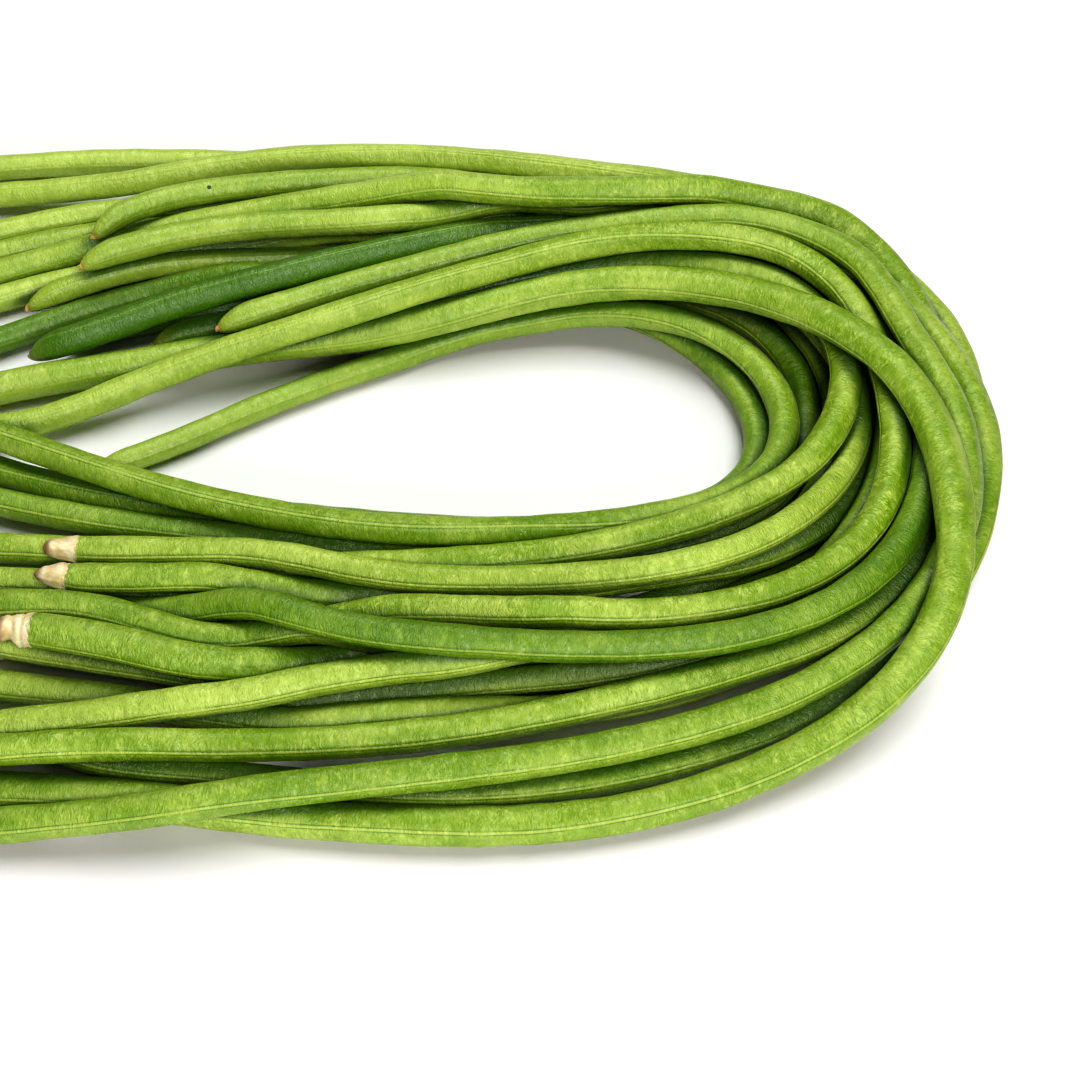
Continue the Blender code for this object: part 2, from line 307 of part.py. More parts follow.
def through(points, per_span=ROUTE_DETAIL):
    """A centripetal Catmull-Rom curve through rows of numbers whose first two are a place."""
    rows = np.vstack([2 * points[0] - points[1], points, 2 * points[-1] - points[-2]])
    chords = np.linalg.norm(np.diff(rows[:, :2], axis=0), axis=1) ** 0.5
    curve = []
    for i in range(len(rows) - 3):
        a, b, c, d = rows[i:i + 4]
        knots = np.concatenate([[0.0], np.cumsum(chords[i:i + 3])])
        t = np.linspace(knots[1], knots[2], per_span, endpoint=False)[:, None]

        def mix(first, last, start, end):
            return ((end - t) * first + (t - start) * last) / (end - start)

        ab = mix(a, b, knots[0], knots[1])
        bc = mix(b, c, knots[1], knots[2])
        cd = mix(c, d, knots[2], knots[3])
        abc = mix(ab, bc, knots[0], knots[2])
        bcd = mix(bc, cd, knots[1], knots[3])
        curve.append(mix(abc, bcd, knots[1], knots[2]))
    return np.vstack(curve + [rows[-2:-1]])


def distances_along(points):
    """Length of the line up to each of its points."""
    steps = np.linalg.norm(np.diff(points, axis=0), axis=1)
    return np.concatenate([[0.0], np.cumsum(steps)])


def stations_of(pod):
    """A pod's axis as evenly spaced stations: sight lines, layers, whether seen, and radii."""
    route = np.array(pod["route"], dtype=float)
    back = route[0, :2] - route[1, :2]
    stalk_end = route[0].copy()
    stalk_end[:2] += back / np.linalg.norm(back) * STALK_REACH
    curve = through(np.vstack([stalk_end, route]))
    layers = np.maximum(curve[:, 2], 0.0)
    axis = on_sight_line(sight_lines(curve[:, :2]), LOWEST_AXIS + LAYER_HEIGHT * layers)
    along = distances_along(axis)
    even = np.linspace(0.0, along[-1], int(round(along[-1] / STATION_STEP)) + 1)
    places = np.stack([np.interp(even, along, curve[:, k]) for k in range(2)], axis=1)
    lines = sight_lines(smoothed(places, ROUTE_SMOOTHING))
    layer = smoothed(np.interp(even, along, layers)[:, None], LAYER_SMOOTHING)[:, 0]
    seen = np.clip(np.interp(even, along, curve[:, 3]), 0.0, 1.0)
    radius = np.interp(even / even[-1], [0.0, 0.5, 1.0], pod["widths"]) / 2
    return lines, layer, seen, radius


class Bunch:
    """All the pods' stations in one array, which settle on the surface and on each other."""

    def __init__(self, pods):
        parts = [stations_of(pod) for pod in pods]
        counts = [len(part[1]) for part in parts]
        self.lines = np.vstack([part[0] for part in parts])
        self.layer = np.concatenate([part[1] for part in parts])
        self.seen = np.concatenate([part[2] for part in parts])
        self.radius = np.concatenate([part[3] for part in parts])
        self.first = np.concatenate([[0], np.cumsum(counts)])
        self.pod = np.repeat(np.arange(len(pods)), counts)
        self.spans = [slice(self.first[i], self.first[i + 1]) for i in range(len(pods))]
        self.axis = on_sight_line(self.lines, LOWEST_AXIS + LAYER_HEIGHT * self.layer)

    def tangents(self):
        along = np.vstack([np.gradient(self.axis[span], axis=0) for span in self.spans])
        return along / np.linalg.norm(along, axis=1, keepdims=True)

    def find_neighbours(self):
        """For each station, the nearest station of every other pod within reach."""
        mine, other = [], []
        places = self.axis.astype(np.float32)
        for span in self.spans:
            squares = ((places[span][:, None, :] - places[None]) ** 2).sum(axis=2)
            for rival in self.spans:
                if rival == span:
                    continue
                part = squares[:, rival]
                nearest = part.argmin(axis=1)
                close = part[np.arange(len(part)), nearest] < REACH ** 2
                mine.append(np.nonzero(close)[0] + span.start)
                other.append(nearest[close] + rival.start)
        self.mine = np.concatenate(mine)
        self.other = np.concatenate(other)

    def pushes(self, tangents):
        """How far each station moves to leave the skins of its neighbours."""
        mine = self.mine
        slide = ((self.axis[mine] - self.axis[self.other]) * tangents[self.other]).sum(axis=1)
        step = np.clip(np.round(slide / STATION_STEP), -MOST_SLIDE, MOST_SLIDE).astype(int)
        start = self.first[self.pod[self.other]]
        end = self.first[self.pod[self.other] + 1] - 1
        other = np.clip(self.other + step, start, end)
        apart = self.axis[mine] - self.axis[other]
        slide = (apart * tangents[other]).sum(axis=1)
        past_end = ((other == start) | (other == end)) & (np.abs(slide) > STATION_STEP)
        apart = np.where(past_end[:, None], apart, apart - slide[:, None] * tangents[other])
        # The pod of the higher layer belongs above, seen from halfway between the viewpoint and overhead
        above = np.array([0.0, -math.cos(VIEW_ELEVATION), 1.0 + math.sin(VIEW_ELEVATION)])
        above /= np.linalg.norm(above)
        order = self.layer[mine] - self.layer[other]
        height = apart @ above
        wrong = (np.abs(order) > LAYERS_APART) & (height * order < 0)
        apart = np.where(wrong[:, None], apart - 2 * height[:, None] * above, apart)
        distance = np.maximum(np.linalg.norm(apart, axis=1), POLE_RADIUS)
        lacking = self.radius[mine] + self.radius[other] + SKIN_GAP - distance
        touching = lacking > 0
        push = apart[touching] * (lacking[touching] / distance[touching] / 2)[:, None]
        total = np.zeros_like(self.axis)
        hits = np.zeros(len(self.axis))
        np.add.at(total, mine[touching], push)
        np.add.at(total, other[touching], -push)
        np.add.at(hits, mine[touching], 1)
        np.add.at(hits, other[touching], 1)
        return total / np.maximum(hits, 1)[:, None] ** CROWDING

    def bend_evenly(self, height_share, side_share):
        """Pods are stiff: their heights even out, and their sides keep a smooth bend."""
        for span in self.spans:
            axis = self.axis[span]
            rough = axis - smoothed(axis, STIFFNESS_SPREAD)
            sharp = rough - smoothed(rough, STIFFNESS_SPREAD)
            axis[:, 2] -= rough[:, 2] * height_share
            axis[:, :2] -= sharp[:, :2] * side_share
            self.axis[span] = axis

    def settle(self):
        """Let the pods sink together, held to their sight lines where they are seen."""
        for turn in range(SETTLING_ROUNDS + PARTING_ROUNDS):
            parting = turn >= SETTLING_ROUNDS
            fall = FALL_STEP * (1 - turn / SETTLING_ROUNDS)
            spread = PARTING_SPREAD if parting else PUSH_SPREAD
            if turn % NEIGHBOUR_ROUNDS == 0:
                self.find_neighbours()
            if turn % TANGENT_ROUNDS == 0:
                tangents = self.tangents()
            push = self.pushes(tangents)
            for span in self.spans:
                self.axis[span] += smoothed(push[span], spread) * PUSH_SHARE
            if parting:
                self.bend_evenly(*PARTING_STIFFNESS)
            else:
                self.axis[:, 2] -= fall
                reach = ((self.axis - VIEWPOINT) * self.lines).sum(axis=1)
                foot = VIEWPOINT + self.lines * reach[:, None]
                self.axis += (foot - self.axis) * (HOLD_HIDDEN + HOLD_SEEN * self.seen)[:, None]
                self.bend_evenly(*SETTLING_STIFFNESS)
            self.axis[:, 2] = np.maximum(self.axis[:, 2], self.radius)


def flat_material(name, colour, roughness):
    material = bpy.data.materials.new(name)
    material.use_nodes = True
    shader = material.node_tree.nodes["Principled BSDF"]
    shader.inputs["Base Color"].default_value = (*colour, 1.0)
    shader.inputs["Roughness"].default_value = roughness
    shader.inputs["Metallic"].default_value = 0.0
    return material


def facet_stations(axis, along, start, end):
    """Distances along the axis for a facet's rings: close together where the pod bends more."""
    tangents = np.gradient(axis, along, axis=0)
    bends = np.linalg.norm(np.gradient(tangents, along, axis=0), axis=1)
    bends = smoothed(bends[:, None], BEND_SMOOTHING)[:, 0]
    stations = [start]
    while stations[-1] < end:
        bend = max(np.interp(stations[-1], along, bends), STRAIGHTEST)
        facet = math.sqrt(8 * CHORD_ERROR / bend)
        stations.append(stations[-1] + min(max(facet, SHORTEST_FACET), LONGEST_FACET))
    even = np.array(stations)
    return start + (even - start) * (end - start) / (even[-1] - start)


def tube(name, points, radii, collection):
    """A closed eight-sided tube through points, with a radius at each of them."""
    curve = bpy.data.curves.new(name + "_axis", "CURVE")
    curve.dimensions = "3D"
    curve.twist_mode = "Z_UP"
    curve.bevel_depth = 1.0
    curve.bevel_resolution = SIDES_RESOLUTION
    curve.use_fill_caps = True
    spline = curve.splines.new("POLY")
    spline.points.add(len(points) - 1)
    for point, place, radius in zip(spline.points, points, radii):
        point.co = (*place, 1.0)
        point.radius = radius
        point.tilt = HALF_SIDE
    guide = bpy.data.objects.new(name + "_axis", curve)
    collection.objects.link(guide)
    bpy.context.view_layer.update()
    seen_by_viewport = guide.evaluated_get(bpy.context.evaluated_depsgraph_get())
    mesh = bpy.data.meshes.new_from_object(seen_by_viewport)
    mesh.name = name
    bpy.data.objects.remove(guide)
    body = bmesh.new()
    body.from_mesh(mesh)
    bmesh.ops.remove_doubles(body, verts=body.verts, dist=WELD_DISTANCE)
    bmesh.ops.recalc_face_normals(body, faces=body.faces)
    body.to_mesh(mesh)
    body.free()
    mesh.materials.clear()
    mesh.shade_smooth()
    tube_object = bpy.data.objects.new(name, mesh)
    collection.objects.link(tube_object)
    return tube_object


def pod_tube(name, axis, along, radius, stalk_width, collection):
    """The green pod, from its joint with the stalk to its nib."""
    start = STALK_LENGTH + JOINT_GAP
    end = along[-1]
    rings = facet_stations(axis, along, start + POD_SHOULDER, end - POD_TAPER)
    taper = end - POD_TAPER * np.array([share for share, _ in TAPER_SHAPE])
    where = np.concatenate([[start], rings, taper])
    radii = np.interp(where, along, radius)
    radii[0] = stalk_width / 2 * JOINT_SHARE
    radii[len(rings) + 1:] *= np.array([share for _, share in TAPER_SHAPE])
    radii[-1] = POLE_RADIUS
    return tube(name, curve_points(axis, along, where), radii, collection)


def stalk_tube(name, axis, along, stalk_width, collection):
    """The pale stump: a blunt point, a knuckle, a waist and a wider knuckle at the joint."""
    where = STALK_LENGTH * np.array([share for share, _ in STALK_SHAPE])
    radii = stalk_width * np.array([share for _, share in STALK_SHAPE])
    radii[0] = POLE_RADIUS
    return tube(name, curve_points(axis, along, where), radii, collection)


def curve_points(axis, along, where):
    return np.stack([np.interp(where, along, axis[:, k]) for k in range(3)], axis=1)


def lay_down(objects):
    """Put the middle of the bunch's box over the origin, and press its lowest skin flat on the surface."""
    corners = np.array([vertex.co for item in objects for vertex in item.data.vertices])
    low, high = corners.min(axis=0), corners.max(axis=0)
    middle = (low + high) / 2
    for item in objects:
        for vertex in item.data.vertices:
            vertex.co.x -= middle[0]
            vertex.co.y -= middle[1]
            if vertex.co.z < FLAT_DEPTH:
                vertex.co.z = 0.0
        item.data.update()


def build():
    for item in list(bpy.data.objects):
        bpy.data.objects.remove(item)
    collection = bpy.data.collections.new(BUNCH_NAME)
    bpy.context.scene.collection.children.link(collection)
    bunch = Bunch(PODS)
    bunch.settle()
    objects = []
    for number, (pod, span) in enumerate(zip(PODS, bunch.spans), start=1):
        axis = bunch.axis[span]
        along = distances_along(axis)
        green = pod_tube(f"pod_{number:02d}", axis, along, bunch.radius[span], pod["stalk"], collection)
        green.data.materials.append(flat_material(f"pod_skin_{number:02d}", pod["colour"], SKIN_ROUGHNESS))
        pale = stalk_tube(f"stalk_{number:02d}", axis, along, pod["stalk"], collection)
        pale.data.materials.append(flat_material(f"stalk_straw_{number:02d}", STRAW, STRAW_ROUGHNESS))
        objects += [green, pale]
    lay_down(objects)


build()
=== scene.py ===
import math

import bmesh
import bpy
import numpy as np
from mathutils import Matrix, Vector


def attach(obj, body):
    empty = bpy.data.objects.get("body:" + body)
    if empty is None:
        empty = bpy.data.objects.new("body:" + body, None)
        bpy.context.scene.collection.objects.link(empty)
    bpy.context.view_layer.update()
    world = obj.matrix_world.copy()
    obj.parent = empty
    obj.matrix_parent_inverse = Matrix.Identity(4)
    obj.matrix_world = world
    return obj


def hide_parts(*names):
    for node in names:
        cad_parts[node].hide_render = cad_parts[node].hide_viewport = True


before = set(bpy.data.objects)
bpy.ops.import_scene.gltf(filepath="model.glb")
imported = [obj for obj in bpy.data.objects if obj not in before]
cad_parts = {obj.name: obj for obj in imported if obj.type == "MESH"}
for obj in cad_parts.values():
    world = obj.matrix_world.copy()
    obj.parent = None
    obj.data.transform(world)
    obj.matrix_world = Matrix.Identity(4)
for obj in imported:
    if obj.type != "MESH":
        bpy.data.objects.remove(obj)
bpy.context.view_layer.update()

# A pod's skin, in metres
RINGS_APART = 0.0013          # between two rings of the fine skin
CURVE_DETAIL = 16             # curve points between two rings of the frame
SEAM_SIDES = 13               # sides close to each of a pod's two seams
PLAIN_SIDES = 11              # sides on each flank between the seams
SEAM_REACH = math.radians(24)
ARM_SHARES = (0.30, 0.65)     # shares of the length where the far arm ends and the near arm begins
SEAM_WANDER = 6.0             # degrees
RIDGE_HEIGHT = 0.00016
RIDGE_WIDTH = 0.00075
KEEL_HEIGHT = 0.00010
KEEL_WIDTH = 0.0013
GROOVE_DEPTH = 0.00024        # of the grooves beside a seam's ridge
GROOVE_PLACE = 0.00042
GROOVE_WIDTH = 0.00022
FLANK_DEPTH = 0.00020         # of the shallow hollow between a seam and a flank
FLANK_PLACE = 0.0026
FLANK_WIDTH = 0.0011
RELIEF_GROWTH = 0.16          # length from the nib over which the seams rise to their full height
RELIEF_END = 0.004            # length at the stalk over which they sink again
LUMP_SWELL = 0.022            # share of the radius
SEED_SWELL = 0.016
SEED_SPACING = 0.0135
SEED_START = 0.03             # length from the nib over which the seeds grow to their full size

# A pod's narrow end
NIB_TAPER = 0.0105            # length over which the end rounds off
TIP_SHARE = 0.24              # how wide the very end is, as a share of the pod
TIP_ROUNDNESS = 0.70
NIB_LEAN = 0.36               # how far the nib sits off the middle, in radii
NIB_DROOP = 0.35              # how far it also hangs, as a share of its lean
NIB_LENGTH = 0.0024
NIB_RADIUS = 0.00115
NIB_ROOT = 0.0007             # how deep the nib starts inside the pod
NIB_ROWS = 12
NIB_SIDES = 20

# Slow waves along a pod: the longest in metres, and how many
SEAM_WAVES = (0.16, 3)
LUMP_WAVES = (0.055, 4)
SEED_SHIFT_WAVES = (0.09, 2)
SEED_SIZE_WAVES = (0.12, 2)

# Shade painted into the skin's colour between pods
NEIGHBOUR_REACH = 0.018       # middle lines further off than this take no light away
NEIGHBOUR_SHADE = 1.6

# Stalks: distance from the free end as a share of the length, and radius as a share of the pod's
STALK_PROFILE = [(0.0, 0.22), (0.06, 0.42), (0.18, 0.58), (0.35, 0.68),
                 (0.55, 0.74), (0.78, 0.86), (1.0, 0.94)]
CONE_PROFILE = [(0.0, 0.10), (0.05, 0.24), (0.15, 0.38), (0.35, 0.57),
                (0.60, 0.75), (0.80, 0.86), (1.0, 0.95)]
KNOBBLY_PROFILE = [(0.0, 0.36), (0.12, 0.60), (0.30, 0.68), (0.46, 0.60),
                   (0.62, 0.78), (0.78, 0.84), (0.88, 0.80), (1.0, 0.94)]
STALK_ROWS = 46
STALK_SIDES = 56
STALK_KNOBS = 9
COLLAR_REACH = 0.0015         # how far a stalk's ragged skin reaches over its pod
COLLAR_LIFT = 0.00010
# The collar's rows: height over the pod, and how far out to the torn edge
COLLAR_ROWS = ((COLLAR_LIFT, 0.0), (COLLAR_LIFT, 0.35), (COLLAR_LIFT, 0.7),
               (COLLAR_LIFT * 0.8, 1.0), (-0.0002, 1.02))

LOWEST_END = 0.0002           # height that the closing point of a tube keeps above the surface

# The photograph's view
VIEW_TARGET = Vector((0.02724, -0.02330, 0.0))
VIEW_DISTANCE = 0.494
VIEW_ELEVATION = math.radians(55.0)
VIEW_WIDTH = math.radians(30.0)
SENSOR_WIDTH = 36.0

# Lamps: place, width in metres, and power in watts
LIGHT_AIM = Vector((0.02, 0.0, 0.0))
BUNCH_LAMPS = {
    "front": ((0.22, -0.60, 0.90), 0.40, 6.7),
    "back": ((-0.06, 0.36, 0.62), 0.40, 2.7),
    "low": ((0.05, -0.60, 0.15), 0.35, 1.1),
}
PAPER_LAMPS = {
    "fill": ((0.0, -0.60, 0.30), 0.30, 1.9),
    "sky": ((0.65, 0.76, 1.82), 1.90, 40.0),
}
FILL_COLOUR = (1.0, 0.90, 0.98)
ROOM_LIGHT = 0.05
PAPER_HALF = 2.5
PAPER_DEPTH = 0.0002

# Linear colours
LIME = (0.210, 0.340, 0.005)
PALE = (0.570, 0.690, 0.150)
LEAF = (0.130, 0.250, 0.004)
DEEP = (0.052, 0.155, 0.003)
YELLOW = (0.460, 0.480, 0.090)
TAN = (0.500, 0.285, 0.090)
CREAM = (0.850, 0.765, 0.500)
STRAW = (0.700, 0.550, 0.270)
PINK = (0.740, 0.520, 0.380)
BROWN = (0.160, 0.070, 0.028)
# Near-black green: the colour of the painted shade between pods, and of the dark speck
SHADE_AND_SPECK_BLACK = (0.004, 0.012, 0.002)
PAPER = (0.93, 0.93, 0.92)
GREYER_PAPER = (0.90, 0.90, 0.89)

# Noise scales: features in a metre, roughly
PATCH_SCALE = 48.0
BLOTCH_SCALE = 420.0
CLUSTER_SCALE = 150.0         # where the wisps are thick
WISP_SCALE = 2500.0
PIT_SCALE = 2600.0
SPECK_SCALE = 900.0
BREAK_SCALE = 70.0            # where the seams' dark lines fade out
CURL_SCALE = 360.0
CURL_REACH = 0.0024

# Each pod: how deep its green is, from 0 for lime to 1 for deep and below 0 for pale, how strong its streaks
# are, and how many degrees above the level its seam shows on the viewer's side, in the far and the near arm
POD_LOOKS = {
    "pod_01": (0.12, 0.60, 26, 42),
    "pod_02": (0.06, 1.00, 70, 30),
    "pod_03": (0.00, 0.75, 34, 28),
    "pod_04": (0.30, 0.75, 30, 34),
    "pod_05": (0.14, 0.50, 22, 40),
    "pod_06": (0.10, 0.75, 20, 30),
    "pod_07": (-0.30, 0.60, 76, 24),
    "pod_08": (0.28, 0.60, 40, 72),
    "pod_09": (0.50, 0.45, 24, 70),
    "pod_10": (0.36, 0.50, 30, 40),
    "pod_11": (-0.28, 0.70, 48, 28),
    "pod_12": (0.08, 0.70, 60, 16),
    "pod_13": (0.66, 0.45, 84, 22),
    "pod_14": (0.24, 0.65, 10, 34),
    "pod_15": (-0.30, 1.00, 20, 24),
    "pod_16": (0.24, 0.85, 40, 12),
    "pod_17": (-0.40, 0.45, 30, 20),
}
LEAF_DEPTH = 0.55             # the depth at which a pod is leaf green
# Pods whose narrow end lies in shade, painted as a deep green instead of a pale end, and how strong the
# painted shade is
SHADE_PAINTED_ENDS = {"pod_13": 0.85, "pod_03": 0.85, "pod_09": 0.35, "pod_10": 0.5}
# A small dark speck, at a place on the pod's skin
SPECKED = {"pod_14": (-0.0618, 0.0811, 0.0164)}
# Stalks that taper evenly to a point
CONED = ("stalk_12", "stalk_05", "stalk_08")
# Stalks that narrow between knobs
KNOBBED = ("stalk_16", "stalk_02", "stalk_06")
# Stalks with higher knuckles than the others
KNUCKLED = {"stalk_16": 2.4, "stalk_11": 1.2, "stalk_12": 1.0}
USUAL_KNUCKLES = 0.8


def rings_of(node):
    """A tube's rings of corners, from the point that closes its narrow end."""
    shape = bmesh.new()
    shape.from_mesh(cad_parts[node].data)
    bmesh.ops.remove_doubles(shape, verts=shape.verts, dist=1e-5)
    pole = max(shape.verts, key=lambda corner: len(corner.link_edges))
    rings = [[pole]]
    met = {pole}
    while rings[-1]:
        outer = []
        for corner in rings[-1]:
            for edge in corner.link_edges:
                other = edge.other_vert(corner)
                if other not in met:
                    met.add(other)
                    outer.append(other)
        rings.append(outer)
    places = [np.array([corner.co for corner in ring]) for ring in rings if ring]
    shape.free()
    return places


def middle_and_radius(ring):
    """A ring's middle and radius, from the opposite corners that lie most level."""
    apart = np.linalg.norm(ring[:, None] - ring[None], axis=2)
    facing = apart.argmax(axis=1)
    tilt = np.abs(ring[:, 2] - ring[facing, 2])
    level = np.argsort(tilt)[:4]
    middles = (ring[level] + ring[facing[level]]) / 2
    return middles.mean(axis=0), apart[level, facing[level]].mean() / 2


def lengths_along(points):
    steps = np.linalg.norm(np.diff(points, axis=0), axis=1)
    return np.concatenate([[0.0], np.cumsum(steps)])


def smooth_curve(points, values, step):
    """Points and values along a centripetal Catmull-Rom curve, a step apart."""
    rows = np.hstack([points, values[:, None]])
    rows = np.vstack([2 * rows[0] - rows[1], rows, 2 * rows[-1] - rows[-2]])
    gaps = np.maximum(np.linalg.norm(np.diff(rows[:, :3], axis=0), axis=1), 1e-5) ** 0.5
    fine = []
    for i in range(len(rows) - 3):
        a, b, c, d = rows[i:i + 4]
        k0, k1, k2, k3 = np.concatenate([[0.0], np.cumsum(gaps[i:i + 3])])
        t = np.linspace(k1, k2, CURVE_DETAIL, endpoint=False)[:, None]
        ab = ((k1 - t) * a + (t - k0) * b) / (k1 - k0)
        bc = ((k2 - t) * b + (t - k1) * c) / (k2 - k1)
        cd = ((k3 - t) * c + (t - k2) * d) / (k3 - k2)
        abc = ((k2 - t) * ab + (t - k0) * bc) / (k2 - k0)
        bcd = ((k3 - t) * bc + (t - k1) * cd) / (k3 - k1)
        fine.append(((k2 - t) * abc + (t - k1) * bcd) / (k2 - k1))
    fine = np.vstack(fine + [rows[-2:-1]])
    along = lengths_along(fine[:, :3])
    even = np.linspace(0.0, along[-1], max(int(along[-1] / step), 4) + 1)
    even_rows = np.stack([np.interp(even, along, fine[:, k]) for k in range(4)], axis=1)
    return even_rows[:, :3], even_rows[:, 3], even


def side_and_top(points):
    """At each point, the level direction across the curve and the one that stands on it."""
    ahead = np.gradient(points, axis=0)
    ahead /= np.linalg.norm(ahead, axis=1, keepdims=True)
    side = np.cross(ahead, (0.0, 0.0, 1.0))
    side /= np.linalg.norm(side, axis=1, keepdims=True)
    return side, np.cross(side, ahead)


def waves(x, random, longest, count):
    """A smooth random row between about -1 and 1, the same in each run."""
    total = np.zeros_like(x)
    for k in range(count):
        size = longest / 1.7 ** k
        total += np.sin(2 * math.pi * x / size + random.uniform(0, 2 * math.pi)) / 1.3 ** k
    return total / 1.8


def seam_angles():
    """Angles round a pod from its outer seam, close together at both seams."""
    near = SEAM_REACH * np.linspace(-1.0, 1.0, SEAM_SIDES)
    flank = np.linspace(SEAM_REACH, math.pi - SEAM_REACH, PLAIN_SIDES + 2)[1:-1]
    return np.concatenate([near, flank, near + math.pi, flank + math.pi])


def grid_mesh(name, grid, closing_points):
    """A closed tube from rows of places, with a point at each end."""
    rows, sides = grid.shape[:2]
    places = np.vstack([grid.reshape(-1, 3), closing_points])
    faces = []
    for row in range(rows - 1):
        for side in range(sides):
            nearby = (side + 1) % sides
            a, b = row * sides + side, row * sides + nearby
            faces.append((a, b, b + sides, a + sides))
    first_point, last_point = rows * sides, rows * sides + 1
    last_row = (rows - 1) * sides
    for side in range(sides):
        nearby = (side + 1) % sides
        faces.append((nearby, side, first_point))
        faces.append((last_row + side, last_row + nearby, last_point))
    mesh = bpy.data.meshes.new(name)
    mesh.from_pydata(places.tolist(), [], faces)
    shape = bmesh.new()
    shape.from_mesh(mesh)
    bmesh.ops.recalc_face_normals(shape, faces=shape.faces)
    shape.to_mesh(mesh)
    shape.free()
    mesh.shade_smooth()
    return mesh


def add_values(mesh, name, grid_values, end_values):
    """A number or a place for each corner of the tube, for its material."""
    values = np.asarray(grid_values, dtype=float)
    kind = "FLOAT_VECTOR" if values.ndim == 3 else "FLOAT"
    width = 3 if values.ndim == 3 else 1
    flat = np.vstack([values.reshape(-1, width), np.asarray(end_values, dtype=float).reshape(-1, width)])
    attribute = mesh.attributes.new(name, kind, "POINT")
    attribute.data.foreach_set("vector" if width == 3 else "value", flat.astype(np.float32).ravel())


def end_profile(distance, length):
    """A share of the full radius: round at the very end, full past the length."""
    t = np.clip(distance / length, 0.0, 1.0)
    return TIP_SHARE + (1.0 - TIP_SHARE) * (1.0 - (1.0 - t) ** 2.0) ** TIP_ROUNDNESS


def pod_axis(node):
    """A pod's middle line and radii from the nib to the stalk, with the distances from the nib."""
    rings = rings_of(node)
    tip = rings[0][0]
    middles, radii = zip(*[middle_and_radius(ring) for ring in rings[1:]])
    middles, radii = np.array(middles), np.array(radii)
    points = np.vstack([tip, middles])
    along = lengths_along(points)
    full = along[1:] > NIB_TAPER * 1.05
    # The skin tapers by a profile of its own, so the frame's taper is left out here
    body = radii[full]
    widths = np.concatenate([[body[0]] * int((~full).sum() + 1), body])
    return smooth_curve(points, widths, RINGS_APART)


def painted_shade_shares(grid, middles, node, axes):
    """How much of the light from above the neighbouring pods keep off each corner of a pod's skin, for the
    shade painted into its colour.
    """
    others = np.vstack([axis[0][::2] for name, axis in axes.items() if name != node])
    radii = np.concatenate([axis[1][::2] for name, axis in axes.items() if name != node])
    shares = np.zeros(grid.shape[:2])
    for row, middle in enumerate(middles):
        near = np.linalg.norm(others - middle, axis=1) < NEIGHBOUR_REACH
        if not near.any():
            continue
        outward = grid[row] - middle
        outward /= np.maximum(np.linalg.norm(outward, axis=1, keepdims=True), 1e-6)
        away = others[near][None] - grid[row][:, None]
        apart = np.maximum(np.linalg.norm(away, axis=2), radii[near][None] * 0.8)
        facing = np.clip((away * outward[:, None]).sum(axis=2) / apart, 0.0, 1.0)
        above = np.clip(away[:, :, 2] / apart + 0.45, 0.0, 1.0)
        # The share of a corner's view that each short length of a neighbour takes up
        cover = 4 * RINGS_APART * radii[near][None] / (math.pi * apart ** 2)
        shares[row] = (facing * above * cover).sum(axis=1)
    return 1.0 - np.exp(-NEIGHBOUR_SHADE * shares)


def hill(distance, place, width):
    """1 at the place, falling smoothly to 0 within about two widths."""
    return np.exp(-((distance - place) / width) ** 2)


def seam_relief(seam_metres, along):
    """The height of the seams' ridges and keels, less their grooves and the hollows beside them."""
    fade = np.clip(along / RELIEF_GROWTH, 0.25, 1) * np.clip((along[-1] - along) / RELIEF_END, 0.3, 1)
    groove = GROOVE_DEPTH * hill(seam_metres, GROOVE_PLACE, GROOVE_WIDTH)
    ridge = RIDGE_HEIGHT * hill(seam_metres, 0.0, RIDGE_WIDTH)
    keel = KEEL_HEIGHT * hill(seam_metres, 0.0, KEEL_WIDTH)
    hollow = FLANK_DEPTH * hill(seam_metres, FLANK_PLACE, FLANK_WIDTH)
    return (ridge + keel - groove - hollow) * fade[:, None]


def swelling(along, random):
    """A pod's slow lumps and the fainter swell over each seed."""
    lumps = 1.0 + LUMP_SWELL * waves(along, random, *LUMP_WAVES)
    seeds = np.sin(2 * math.pi * along / SEED_SPACING + 1.2 * waves(along, random, *SEED_SHIFT_WAVES))
    size = 0.55 + 0.45 * waves(along, random, *SEED_SIZE_WAVES)
    return lumps + SEED_SWELL * seeds * size * np.clip(along / SEED_START, 0, 1)


def place_object(name, mesh):
    piece = bpy.data.objects.new(name, mesh)
    bpy.context.scene.collection.objects.link(piece)
    return piece


